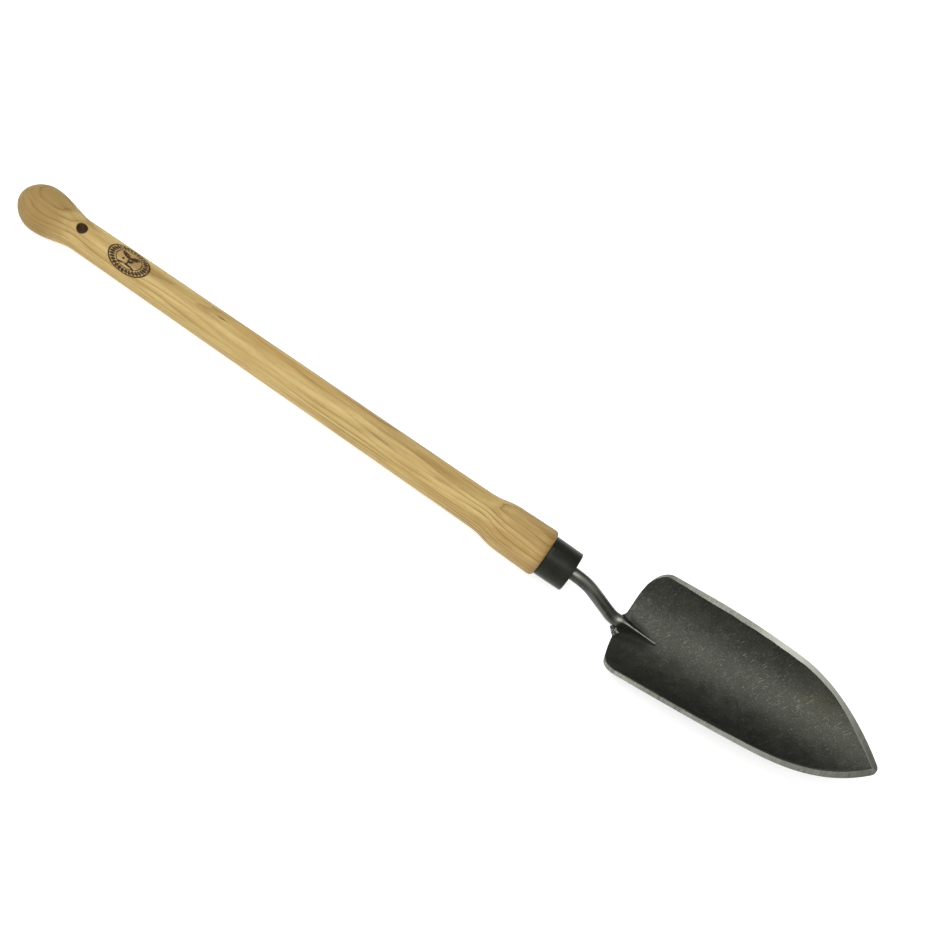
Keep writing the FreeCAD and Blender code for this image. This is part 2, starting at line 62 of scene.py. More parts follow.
MM = 0.001
HOLE_X = 46.0
HOLE_R = 3.5
mount = next(m for m in frame["record"]["mounts"] if m["name"] == "hanging_hole")
TILT = math.atan2(-mount["axis"][0], mount["axis"][2])
TOOL = (Matrix.Translation(Vector(mount["pos_m"])) @ Matrix.Rotation(-TILT, 4, "Y")
        @ Matrix.Translation((-HOLE_X * MM, 0, 0)))
BLADE_X, BLADE_Z, BLADE_RISE = 465.6, -26.4, math.radians(12.8)
BLADE = (TOOL @ Matrix.Translation((BLADE_X * MM, 0, BLADE_Z * MM))
         @ Matrix.Rotation(-BLADE_RISE, 4, "Y"))
TO_BLADE = BLADE.inverted()

# The neck's bend: where it starts and how steeply the rod then falls.
BEND_X, DROP = 423.5, math.radians(40)

# The blade: a sheet bent round its length, with a ground edge, drawn up at the point.
SHEET, INNER_R, OUTER_R = 3.0, 41.9, 44.9
HALF_WIDTH, BACK_SET, BACK_R, CORNER_R = 39.45, 0.75, 98.0, 14.5
SIDE_U, SIDE_R, SIDE_TURN = 39.0, 870.0, math.radians(4.77)
POINT_R, TIP_R = 121.2, 5.5
CURL_U, CURL_R = 140.0, 420.0
BEVEL, TIP_BEVEL, LAND = 3.55, 4.7, 0.4

CORNER_Y = HALF_WIDTH - CORNER_R
CORNER_U = BACK_SET + BACK_R - math.sqrt((BACK_R - CORNER_R) ** 2 - CORNER_Y ** 2)
BACK_TURN = math.asin(CORNER_Y / (BACK_R - CORNER_R))
POINT_U = SIDE_U + (SIDE_R - POINT_R) * math.sin(SIDE_TURN)
POINT_Y = HALF_WIDTH - SIDE_R + (SIDE_R - POINT_R) * math.cos(SIDE_TURN)
TIP_U = POINT_U + math.sqrt((POINT_R - TIP_R) ** 2 - POINT_Y ** 2)
TIP_TURN = math.acos(-POINT_Y / (POINT_R - TIP_R))
MITRE_TURN = math.acos(-POINT_Y / (POINT_R - TIP_BEVEL))


# -------------------- mesh helpers

def link(name, data):
    """A new object in the scene, at the origin."""
    obj = bpy.data.objects.new(name, data)
    bpy.context.scene.collection.objects.link(obj)
    return obj


def build(name, verts, faces, matrix, materials, indices=None):
    """A mesh piece from millimetre points given in a frame."""
    mesh = bpy.data.meshes.new(name)
    mesh.from_pydata([matrix @ (Vector(v) * MM) for v in verts], [], faces)
    for material in materials:
        mesh.materials.append(material)
    if indices is not None:
        for face, index in zip(mesh.polygons, indices):
            face.material_index = index
    mesh.validate()
    for face in mesh.polygons:
        face.use_smooth = True
    return link(name, mesh)


def bridge(rings, around):
    """Faces of a closed skin over rings of the same number of points, with a cap at each end."""
    faces = []
    for row in range(rings - 1):
        low, high = row * around, (row + 1) * around
        for i in range(around):
            j = (i + 1) % around
            faces.append((low + i, low + j, high + j, high + i))
    faces.append(tuple(range(around)))
    faces.append(tuple((rings - 1) * around + i for i in reversed(range(around))))
    return faces


def tidy_normals(obj, angle=None):
    """Point every face outwards, and keep edges sharper than the angle crisp."""
    bm = bmesh.new()
    bm.from_mesh(obj.data)
    bmesh.ops.recalc_face_normals(bm, faces=bm.faces)
    bm.to_mesh(obj.data)
    bm.free()
    if angle is not None:
        obj.data.set_sharp_from_angle(angle=math.radians(angle))


def apply_modifiers(obj):
    """Replace the object's mesh by what its modifiers make of it."""
    bpy.context.view_layer.update()
    graph = bpy.context.evaluated_depsgraph_get()
    mesh = bpy.data.meshes.new_from_object(obj.evaluated_get(graph))
    old = obj.data
    obj.modifiers.clear()
    obj.data = mesh
    bpy.data.meshes.remove(old)


def arc(start, end, radius, side, count):
    """Points after start, up to end, on the shorter arc; side 1 has the centre on the left."""
    (x0, y0), (x1, y1) = start, end
    dx, dy = x1 - x0, y1 - y0
    chord = math.hypot(dx, dy)
    reach = math.sqrt(max(radius * radius - chord * chord / 4, 0))
    cx = (x0 + x1) / 2 - side * dy / chord * reach
    cy = (y0 + y1) / 2 + side * dx / chord * reach
    a0 = math.atan2(y0 - cy, x0 - cx)
    a1 = math.atan2(y1 - cy, x1 - cx)
    turn = (a1 - a0 + math.pi) % (2 * math.pi) - math.pi
    return [(cx + radius * math.cos(a0 + turn * i / count),
             cy + radius * math.sin(a0 + turn * i / count)) for i in range(1, count + 1)]


def straight(start, end, count):
    """Points after start, up to end."""
    return [(start[0] + (end[0] - start[0]) * i / count,
             start[1] + (end[1] - start[1]) * i / count) for i in range(1, count + 1)]


def lathe(profile, around, wobble):
    """Verts, faces and rings of a profile turned about x; wobble(x, angle, radius) is added to the
    radius. An end at radius 0 closes to a point."""
    verts, faces, rings = [], [], []
    for x, r in profile:
        if r < 1e-6:
            rings.append([len(verts)])
            verts.append((x, 0, 0))
            continue
        ring = []
        for i in range(around):
            a = 2 * math.pi * i / around
            reach = r + wobble(x, a, r)
            ring.append(len(verts))
            verts.append((x, reach * math.sin(a), reach * math.cos(a)))
        rings.append(ring)
    for low, high in zip(rings, rings[1:]):
        for i in range(around):
            j = (i + 1) % around
            if len(low) == 1:
                faces.append((low[0], high[i], high[j]))
            elif len(high) == 1:
                faces.append((low[i], low[j], high[0]))
            else:
                faces.append((low[i], low[j], high[j], high[i]))
    return verts, faces, rings


def smoothstep(low, high, value):
    t = min(max((value - low) / (high - low), 0), 1)
    return t * t * (3 - 2 * t)


def table(x, rows):
    """Smooth reading of a small table: rows are (x, value, value...)."""
    if x <= rows[0][0]:
        return rows[0][1:]
    for low, high in zip(rows, rows[1:]):
        if x <= high[0]:
            t = (x - low[0]) / (high[0] - low[0])
            t = 0.35 * smoothstep(0, 1, t) + 0.65 * t
            return tuple(a + (b - a) * t for a, b in zip(low[1:], high[1:]))
    return rows[-1][1:]


# -------------------- shader helpers

class Value:
    """A shader socket that takes part in arithmetic."""

    def __init__(self, graph, socket):
        self.graph, self.socket = graph, socket

    def __add__(self, other):
        return self.graph.math("ADD", self, other)

    def __sub__(self, other):
        return self.graph.math("SUBTRACT", self, other)

    def __rsub__(self, other):
        return self.graph.math("SUBTRACT", other, self)

    def __mul__(self, other):
        return self.graph.math("MULTIPLY", self, other)

    def __truediv__(self, other):
        return self.graph.math("DIVIDE", self, other)

    def __neg__(self):
        return self * -1.0

    __radd__ = __add__
    __rmul__ = __mul__


class Graph:
    """A material's node tree, with short ways to write its nodes; x, y, z are in a frame's mm."""

    def __init__(self, name, base=TOOL):
        self.material = bpy.data.materials.new(name)
        self.material.use_nodes = True
        self.tree = self.material.node_tree
        self.tree.nodes.clear()
        out = self.tree.nodes.new("ShaderNodeOutputMaterial")
        self.bsdf = self.tree.nodes.new("ShaderNodeBsdfPrincipled")
        self.tree.links.new(self.bsdf.outputs[0], out.inputs[0])
        coords = self.tree.nodes.new("ShaderNodeTexCoord")
        place = self.tree.nodes.new("ShaderNodeMapping")
        place.vector_type = "TEXTURE"
        place.inputs["Location"].default_value = base.to_translation()
        place.inputs["Rotation"].default_value = base.to_euler()
        place.inputs["Scale"].default_value = (MM, MM, MM)
        split = self.tree.nodes.new("ShaderNodeSeparateXYZ")
        self.tree.links.new(coords.outputs["Object"], place.inputs[0])
        self.tree.links.new(place.outputs[0], split.inputs[0])
        self.x, self.y, self.z = (Value(self, split.outputs[i]) for i in range(3))

    def feed(self, socket, value):
        if isinstance(value, Value):
            self.tree.links.new(value.socket, socket)
        else:
            socket.default_value = value

    def math(self, operation, *values):
        node = self.tree.nodes.new("ShaderNodeMath")
        node.operation = operation
        for socket, value in zip(node.inputs, values):
            self.feed(socket, value)
        return Value(self, node.outputs[0])

    def vector(self, x, y, z):
        node = self.tree.nodes.new("ShaderNodeCombineXYZ")
        for socket, value in zip(node.inputs, (x, y, z)):
            self.feed(socket, value)
        return Value(self, node.outputs[0])

    def noise(self, x, y, z, detail, rough):
        node = self.tree.nodes.new("ShaderNodeTexNoise")
        self.feed(node.inputs["Vector"], self.vector(x, y, z))
        node.inputs["Scale"].default_value = 1.0
        node.inputs["Detail"].default_value = detail
        node.inputs["Roughness"].default_value = rough
        return Value(self, node.outputs[0])

    def step(self, low, high, value):
        """0 below low, 1 above high, smooth between."""
        node = self.tree.nodes.new("ShaderNodeMapRange")
        node.interpolation_type = "SMOOTHSTEP"
        node.clamp = True
        self.feed(node.inputs["Value"], value)
        node.inputs["From Min"].default_value = low
        node.inputs["From Max"].default_value = high
        return Value(self, node.outputs[0])

    def bell(self, value, width):
        """1 where the value is 0, falling away over the width."""
        squared = (value * (1 / width)) * (value * (1 / width))
        return self.math("POWER", 2.718, -squared)

    def size(self, value):
        return self.math("ABSOLUTE", value)

    def length(self, a, b):
        return self.math("SQRT", a * a + b * b)

    def larger(self, *values):
        """The largest of the values."""
        best = values[0]
        for value in values[1:]:
            best = self.math("MAXIMUM", best, value)
        return best

    def mix(self, amount, a, b):
        """Blend of two colours; each is a Value or a linear (r, g, b)."""
        node = self.tree.nodes.new("ShaderNodeMix")
        node.data_type = "RGBA"
        self.feed(node.inputs[0], amount)
        for socket, colour in ((node.inputs[6], a), (node.inputs[7], b)):
            self.feed(socket, colour if isinstance(colour, Value) else (*colour, 1.0))
        return Value(self, node.outputs[2])

    def ramp(self, value, stops):
        """Stops are (position, grey)."""
        node = self.tree.nodes.new("ShaderNodeValToRGB")
        self.feed(node.inputs[0], value)
        points = node.color_ramp.elements
        while len(points) < len(stops):
            points.new(0.5)
        for point, (place, grey) in zip(points, stops):
            point.position = place
            point.color = (grey, grey, grey, 1)
        return Value(self, node.outputs[0])

    def bump(self, height, strength, distance):
        """A normal from a height; the distance is in millimetres."""
        node = self.tree.nodes.new("ShaderNodeBump")
        self.feed(node.inputs["Height"], height)
        node.inputs["Strength"].default_value = strength
        node.inputs["Distance"].default_value = distance * MM
        return Value(self, node.outputs[0])

    def finish(self, colour, rough, normal=None, **fixed):
        """Wire up the surface; what is the same all over is set on the shader's own sockets."""
        self.feed(self.bsdf.inputs["Base Color"], colour)
        self.feed(self.bsdf.inputs["Roughness"], rough)
        if normal is not None:
            self.feed(self.bsdf.inputs["Normal"], normal)
        for name, value in fixed.items():
            self.bsdf.inputs[name.replace("_", " ")].default_value = value
        return self.material


def srgb(r, g, b):
    """Linear colour of an 8-bit sRGB one."""
    parts = (c / 255 for c in (r, g, b))
    return tuple(((c + 0.055) / 1.055) ** 2.4 if c > 0.04 else c / 12.92 for c in parts)


def toned(colour, tone):
    return tuple(c * tone for c in colour)


# -------------------- wood

# The burnt mark: its middle on the handle, the wood's radius there, its turn (degrees) and size.
EMBLEM_X, EMBLEM_R, EMBLEM_TURN = 81.6, 11.2, -0.5
EMBLEM_HALF_X, EMBLEM_HALF_Y = 15.0, 9.6
OUTER_RING, INNER_RING, WREATH = 0.955, 0.60, 0.78
LEAVES = 30.0


def emblem_mask(g, ex, ey):
    """A generic burnt mark: two oval rings, a wreath of small leaves and a seedling."""
    px, py = ex / EMBLEM_HALF_X, ey / EMBLEM_HALF_Y
    radius = g.length(px, py)
    turn = g.math("ARCTAN2", py, px)
    ring = g.step(0.052, 0.030, g.size(radius - OUTER_RING))
    inner = g.step(0.034, 0.016, g.size(radius - INNER_RING))
    cell = g.math("FRACT", turn * (LEAVES / (2 * math.pi))) - 0.5
    along = cell * 1.75 + (radius - WREATH) * 2.8
    across = (radius - WREATH) * 6.6 - cell * 0.9
    leaf = g.step(1.0, 0.8, g.length(along, across))
    wreath = leaf * g.step(0.64, 0.66, radius) * g.step(0.93, 0.91, radius)

    def ellipse(cx, cy, a, b, angle):
        c, s = math.cos(math.radians(angle)), math.sin(math.radians(angle))
        dx, dy = ex - cx, ey - cy
        u = (dx * c + dy * s) / a
        v = (dy * c - dx * s) / b
        return g.step(1.05, 0.9, g.length(u, v))

    stem = g.step(0.60, 0.40, g.size(ex + ey * 0.05))
    stem = stem * g.step(-3.2, -3.0, ey) * g.step(1.7, 1.4, ey)
    leaves = (ellipse(3.1, 2.2, 3.5, 1.45, 20), ellipse(-3.1, 2.2, 3.5, 1.45, 160),
              ellipse(1.9, -0.7, 2.0, 0.8, 32))
    soil = g.step(0.75, 0.5, g.size(ey + 3.5 + ex * ex * 0.025)) * g.step(6.2, 5.9, g.size(ex))
    seed = ellipse(-3.6, -1.0, 0.8, 0.7, 0)
    return g.larger(ring, inner, wreath, stem, *leaves, soil, seed)


def wood_material():
    """Ash: growth rings cut by the turned surface, fibre, pores, stains and the burnt mark."""
    g = Graph("ash_wood")
    x, y, z = g.x, g.y, g.z
    slow = g.noise(x / 95, y / 13, z / 13, 2.0, 0.5)
    slower = g.noise(x / 60 + 7.0, y / 9, z / 9, 1.0, 0.4)
    ring_turn = math.radians(22)
    depth = y * math.sin(ring_turn) + z * math.cos(ring_turn)
    wavy = depth + (slow - 0.5) * 7.5 + (slower - 0.5) * 2.4 + x * 0.006
    ring = g.math("FRACT", wavy / 2.75)
    line = g.ramp(ring, ((0.0, 0.9), (0.10, 1.0), (0.20, 0.45),
                         (0.45, 0.15), (0.80, 0.0), (0.95, 0.35)))
    strength = g.step(0.30, 0.68, g.noise(x / 70 + 3.0, y / 5.5, z / 5.5, 1.0, 0.5))
    fibre = g.noise(x / 17, y * 1.9, z * 1.9, 4.0, 0.62)
    fine = g.noise(x / 5.0, y * 5.5, z * 5.5, 3.0, 0.6)
    pore = g.step(0.60, 0.72, g.noise(x / 2.6 + 1.0, y * 4.6, z * 4.6, 1.0, 0.5))
    broad = g.noise(x / 48, y / 4.2, z / 4.2, 3.0, 0.55)

    # The rings are faint on the shaft near the knob, and strong towards the front and on the knob.
    strength = strength * (1.0 - 0.55 * g.bell(x - 150.0, 70.0)) + g.step(290.0, 345.0, x) * 0.4
    strength = strength + g.step(60.0, 25.0, x) * 0.18
    thin = g.ramp(g.math("FRACT", wavy / 0.92), ((0.0, 0.6), (0.25, 1.0), (0.55, 0.0), (0.9, 0.0)))
    thin = thin * g.step(310.0, 360.0, x) * g.step(0.40, 0.62, broad)
    light = srgb(193, 169, 111)
    middle = srgb(171, 144, 88)
    colour = g.mix(g.step(0.30, 0.72, broad), light, middle)
    colour = g.mix(g.step(0.42, 0.70, fibre) * 0.45, colour, srgb(156, 127, 75))
    colour = g.mix(line * (0.18 + strength * 0.82) * 0.70, colour, srgb(108, 78, 38))
    colour = g.mix(thin * 0.34, colour, srgb(126, 94, 46))
    colour = g.mix(pore * (0.25 + line * 0.75) * 0.42, colour, srgb(104, 74, 38))
    colour = g.mix(g.step(0.50, 0.75, fine) * 0.18, colour, srgb(140, 110, 62))

    # Local figure: a short dark fleck, a warm streak, two stained patches and darker ends.
    angle = g.math("ARCTAN2", y, z) * (180 / math.pi)
    jitter = (fibre - 0.5) * 6.0

    def patch(x0, half_x, a0, half_a, lean=0.0):
        return g.bell(x - x0, half_x) * g.bell(angle - a0 - (x - x0) * lean + jitter, half_a)

    colour = g.mix(patch(150.0, 3.4, 14.0, 2.2), colour, srgb(62, 28, 8))
    colour = g.mix(patch(200.0, 50.0, 26.0, 9.0) * 0.5, colour, srgb(168, 124, 62))
    colour = g.mix(patch(312.0, 15.0, 12.0, 9.0) * 0.5, colour, srgb(140, 108, 58))
    colour = g.mix(patch(272.0, 12.0, -18.0, 3.4, -0.05) * 0.6, colour, srgb(112, 84, 46))
    # The knob's darker tone is partly its end grain and partly painted shade.
    knob = g.step(44.0, 24.0, x)
    front = g.step(392.0, 400.5, x)
    colour = g.mix(knob * 0.62, colour, srgb(128, 101, 54))
    colour = g.mix(g.step(345.0, 375.0, x) * 0.30, colour, srgb(150, 120, 68))
    colour = g.mix(front * 0.45, colour, srgb(124, 90, 46))
    # Painted shade: the hole's walls are darkened to a deep brown.
    inside = g.step(HOLE_R + 0.5, HOLE_R - 0.1, g.length(x - HOLE_X, y))
    colour = g.mix(inside * 0.88, colour, srgb(84, 42, 16))

    # The burnt mark on the upper side, uneven, with a scorched halo.
    top = g.step(0.0, 2.0, z)
    ex = x - EMBLEM_X + (fine - 0.5) * 0.5
    ey = (angle - EMBLEM_TURN) * (math.pi / 180 * EMBLEM_R) + (fibre - 0.5) * 0.5
    mask = emblem_mask(g, ex, ey) * top
    uneven = g.noise(x / 1.9, y / 1.4, z / 1.4, 3.0, 0.7)
    burn = mask * g.step(0.16, 0.52, uneven)
    qx, qy = ex / (EMBLEM_HALF_X + 0.8), ey / (EMBLEM_HALF_Y + 0.8)
    halo = g.step(1.05, 0.75, g.length(qx, qy)) * top
    colour = g.mix(halo * 0.35, colour, srgb(140, 106, 62))
    colour = g.mix(burn * 0.96, colour, srgb(36, 20, 11))

    rough = 0.46 + fibre * 0.16 + line * 0.06 + burn * 0.2 + knob * 0.06
    height = fibre * 0.5 - pore * 0.5 - line * 0.25 - burn * 2.2 + fine * 0.25
    normal = g.bump(height, 0.55, 0.12)
    return g.finish(colour, rough, normal, Specular_IOR_Level=0.22)


# -------------------- metals

def scratches(g, turn, length, width, seed, low):
    """Fine lines in patches, at a turn in plan; lengths are in millimetres."""
    c, s = math.cos(math.radians(turn)), math.sin(math.radians(turn))
    along, across = g.x * c + g.y * s, g.y * c - g.x * s
    bend = g.noise(along / 20 + seed, across / 20, g.z / 20, 1.0, 0.5) * 3.0
    fine = g.noise(along / length + seed, (across + bend) / width, g.z / 4, 1.0, 0.5)
    patches = g.step(0.46, 0.66, g.noise(g.x / 13 + seed, g.y / 13, g.z / 13, 2.0, 0.5))
    return g.step(low, low + 0.12, fine) * (0.35 + patches * 0.65)


def neck_wear_and_painted_light(g, colour, mottle):
    """Drawn-out fibre and a painted highlight along the top of the neck, then painted shade on the
    spike's flanks and a ridge partly rubbed bare and partly a painted highlight: (colour,
    roughness)."""
    x, y, z = g.x, g.y, g.z
    run = (x - BLADE_X) * math.cos(BLADE_RISE) + (z - BLADE_Z) * math.sin(BLADE_RISE)
    lift = (z - BLADE_Z) * math.cos(BLADE_RISE) - (x - BLADE_X) * math.sin(BLADE_RISE)
    # Painted shade over the spike, from its root onwards.
    black = g.step(-0.5, 5.0, run)
    fall = (x - BEND_X) * math.cos(DROP) - z * math.sin(DROP)
    out = x * math.sin(DROP) + z * math.cos(DROP)
    fibre = g.noise(fall / 9, y * 1.4, out * 1.4, 3.0, 0.6)
    colour = g.mix(g.step(0.42, 0.68, fibre) * 0.45, colour, srgb(40, 41, 36))

    # Painted highlight: a pale band along the top of the straight neck, and a fainter one down its
    # bend.
    bent = g.larger(x - BEND_X, 0.0)
    crown = g.step(-0.5, 1.5, z + bent * bent * 0.02)
    streak = g.bell(y + 0.45, 1.5) * crown * g.step(456.0, 428.0, x)
    colour = g.mix(streak * (0.44 + fibre * 0.35), colour, srgb(168, 170, 160))
    slope = g.bell(y + 0.3, 3.4) * g.step(430.0, 442.0, x) * (1.0 - black)
    colour = g.mix(slope * (0.30 + fibre * 0.35), colour, srgb(132, 133, 124))

    # Painted shade: the spike is darkened towards black and eased paler at the foot of its flanks,
    # where it meets the blade.
    foot = g.step(3.8, 0.4, lift) * g.step(2.0, 7.0, run) * (0.45 + mottle)
    colour = g.mix(black * (0.62 - foot * 0.50), colour, srgb(26, 27, 23))
    colour = g.mix(foot * 0.45, colour, srgb(92, 93, 86))
    # The pale crest and knuckle are partly rubbed bare and partly a painted highlight.
    ridge = 0.46 + g.bell(run + 1.0, 4.6) * 1.3
    rub_and_glint = g.step(0.35, -0.25, g.size(y) - ridge) * g.step(-9.0, -3.0, run)
    wear_and_glint_patches = g.step(0.35, 0.65, g.noise(x / 2.6, y / 0.8, z / 0.8, 3.0, 0.6))
    bright = rub_and_glint * (0.45 + wear_and_glint_patches * 0.55) * g.step(-4.0, 7.0, run)
    colour = g.mix(bright * 0.85, colour, srgb(168, 169, 161))
    rough = 0.30 + black * 0.26 + g.bell(run + 2.5, 4.0) * 0.14
    return colour, rough + (mottle - 0.5) * 0.16 + fibre * 0.08


def blade_shadow_and_olive(g, colour, mottle, cloud):
    """Painted shadow darkening the scale beside the spike, and an olive patch by the tip."""
    x, y = g.x, g.y
    # Painted shadow: dark bands on the hollow on either side of the spike.
    right = g.bell(y + 8.0 - x * 0.19, 4.2) * g.step(32.0, 18.0, x)
    left = g.bell(y - 8.2 + x * 0.26, 2.2) * g.step(26.0, 14.0, x)
    colour = g.mix(g.larger(right, left) * (0.40 + mottle * 0.7), colour, srgb(22, 23, 19))
    olive = g.bell(x - 142.0, 22.0) * g.bell(y - 20.0, 9.0)
    return g.mix(olive * (0.05 + cloud * 0.22), colour, srgb(88, 85, 60))


def scale_material(name, base, tone, metallic, neck=False):
    """Blackened forged steel: mottled scale with hair-fine lighter scratches."""
    g = Graph(name, base)
    x, y, z = g.x, g.y, g.z
    mottle = g.noise(x / 9, y / 9, z / 9, 5.0, 0.62)
    cloud = g.noise(x / 38 + 2.0, y / 30, z / 30, 3.0, 0.5)
    grain = g.noise(x * 2.1, y * 2.1, z * 2.1, 3.0, 0.6)
    speckle = g.step(0.56, 0.72, g.noise(x / 1.1, y / 0.9, z / 0.9, 3.0, 0.7))
    marks = g.larger(scratches(g, 56, 4.5, 0.55, 3.0, 0.62),
                     scratches(g, -40, 3.5, 0.50, 11.0, 0.64) * 0.8,
                     scratches(g, 12, 5.0, 0.45, 23.0, 0.66) * 0.6,
                     speckle * 0.75)
    spread = g.step(0.30, 0.72, mottle * 0.45 + cloud * 0.15 + grain * 0.40)
    colour = g.mix(spread, toned(srgb(40, 41, 36), tone), toned(srgb(66, 67, 60), tone))
    colour = g.mix(g.step(0.55, 0.8, cloud) * 0.15, colour, toned(srgb(84, 80, 62), tone))
    colour = g.mix(marks * 0.62, colour, toned(srgb(112, 114, 106), tone))
    if neck:
        colour, rough = neck_wear_and_painted_light(g, colour, mottle)
    else:
        colour = blade_shadow_and_olive(g, colour, mottle, cloud)
        rough = 0.50 + (mottle - 0.5) * 0.22 + grain * 0.08 - marks * 0.10
    normal = g.bump(mottle * 1.3 + grain * 0.35 - marks * 0.35, 0.55, 0.10)
    return g.finish(colour, rough, normal, Metallic=metallic, Specular_IOR_Level=0.5)


def ground_material():
    """The bright ground edge, with short lines left across it by the wheel."""
    g = Graph("ground_steel", BLADE)
    x, y, z = g.x, g.y, g.z
    lines = g.noise(x * 1.5 + y * 0.22, y * 0.12, z * 0.12, 3.0, 0.65)
    broad = g.noise(x / 11, y / 7, z / 7, 3.0, 0.55)
    speck = g.step(0.62, 0.74, g.noise(x / 1.4 + 5.0, y / 1.4, z / 1.4, 2.0, 0.6))
    colour = g.mix(g.step(0.32, 0.70, lines), srgb(116, 117, 109), srgb(150, 151, 142))
    colour = g.mix(g.step(0.50, 0.75, broad) * 0.45, colour, srgb(108, 108, 94))
    colour = g.mix(speck * 0.28, colour, srgb(80, 80, 72))

    # Brighter along the middle of each side and more so on the left, duller by the corners and the
    # tip; the bright band is partly a fresh grind and partly a painted highlight.
    left = g.step(-3.0, 1.0, y)
    fresh_grind_and_highlight = g.step(68.0, 100.0, x) * (0.75 + left * 0.25)
    fresh_grind_and_highlight = fresh_grind_and_highlight * (1.0 - (1.0 - left) * g.step(112.0, 148.0, x))
    fresh_grind_and_highlight = fresh_grind_and_highlight * (1.0 - left * g.step(138.0, 166.0, x) * 0.75)
    colour = g.mix(fresh_grind_and_highlight * (0.62 + lines * 0.3), colour, srgb(190, 191, 181))
    dull = g.step(150.0, 182.0, x) * 0.48 + g.step(9.0, 4.0, x) * 0.6
    colour = g.mix(dull, colour, srgb(52, 53, 45))

    # A bright burr along the ground face's inner line, near the tip.
    inward = g.length(x - POINT_U, g.size(y) - POINT_Y) - (POINT_R - TIP_BEVEL)
    burr = g.bell(inward - 0.5, 0.6) * g.step(154.0, 171.0, x) * (0.35 + left * 0.65)
    colour = g.mix(burr * 0.4, colour, srgb(172, 173, 162))
    rough = 0.52 + lines * 0.20 + speck * 0.15
    normal = g.bump(lines + broad * 0.3, 0.6, 0.07)
    return g.finish(colour, rough, normal, Metallic=0.85)


def ferrule_material():
    """Satin black enamel with a faint orange peel and rubbed edges."""
    g = Graph("black_enamel")
    x, y, z = g.x, g.y, g.z
    peel = g.noise(x * 0.9, y * 0.9, z * 0.9, 3.0, 0.55)
    smear = g.noise(x / 7, y / 5, z / 5, 3.0, 0.6)
    scuff = g.step(0.66, 0.78, g.noise(x / 0.5, y / 4.0, z / 4.0, 2.0, 0.6))
    scuff = scuff * g.step(0.5, 0.7, smear)
    colour = g.mix(g.step(0.30, 0.75, smear), srgb(27, 28, 22), srgb(35, 36, 30))
    colour = g.mix(scuff * 0.35, colour, srgb(110, 110, 104))
    rim = g.larger(g.step(401.6, 401.0, x), g.step(420.0, 420.7, x))
    colour = g.mix(rim * g.step(0.35, 0.7, peel) * 0.35, colour, srgb(88, 88, 82))
    rough = 0.24 + smear * 0.12 + scuff * 0.1
    normal = g.bump(peel + scuff * 0.4, 0.35, 0.05)
    return g.finish(colour, rough, normal, Specular_IOR_Level=0.11)


def weld_material(name, pale, rugged):
    """Weld metal: paler spots over a sooty base; rugged is the bump's depth."""
    g = Graph(name, BLADE)
    x, y, z = g.x, g.y, g.z
    spots = g.noise(x / 1.6, y / 1.6, z / 1.6, 4.0, 0.6)
    colour = g.mix(g.step(0.40, 0.66, spots), srgb(44, 44, 40), pale)
    rough = 0.40 + spots * 0.25
    normal = g.bump(spots, 0.6, rugged)
    return g.finish(colour, rough, normal, Metallic=0.75)


WOOD = wood_material()
SCALE = scale_material("forge_scale", BLADE, tone=1.1, metallic=0.80)
ROD = scale_material("forge_scale_rod", TOOL, tone=1.15, metallic=0.85, neck=True)
GROUND = ground_material()
ENAMEL = ferrule_material()
BEAD = weld_material("weld_bright", srgb(150, 150, 143), 0.12)
SOFT_WELD = weld_material("weld_dark", srgb(66, 67, 61), 0.05)

# -------------------- handle

KNOB_R, KNOB_X, NOSE_R, NOSE_SIDE_R = 15.6, 18.0, 12.6, 18.96
KNOB_BACK_R, KNOB_TAPER, WAIST_R = 46.0, 10.0, 29.0
KNOB_TURN, SWELL_TURN = math.radians(14.0), math.radians(14.7)
SWELL_X, SWELL_R, SWELL_HOLLOW, SWELL_CROWN = 351.0, 12.9, 42.0, 52.0
FRONT_R, FRONT_ROUND, WOOD_X = 16.45, 3.0, 400.9
SPIGOT_R, SPIGOT_X, SPIGOT_BEVEL, BORE_R, BORE_X = 12.25, 419.05, 1.05, 4.5, 411.5
TANG_X, TANG_POINT, TANG_ROOT, ROD_X = 326.0, 4.0, 6.2, 411.7


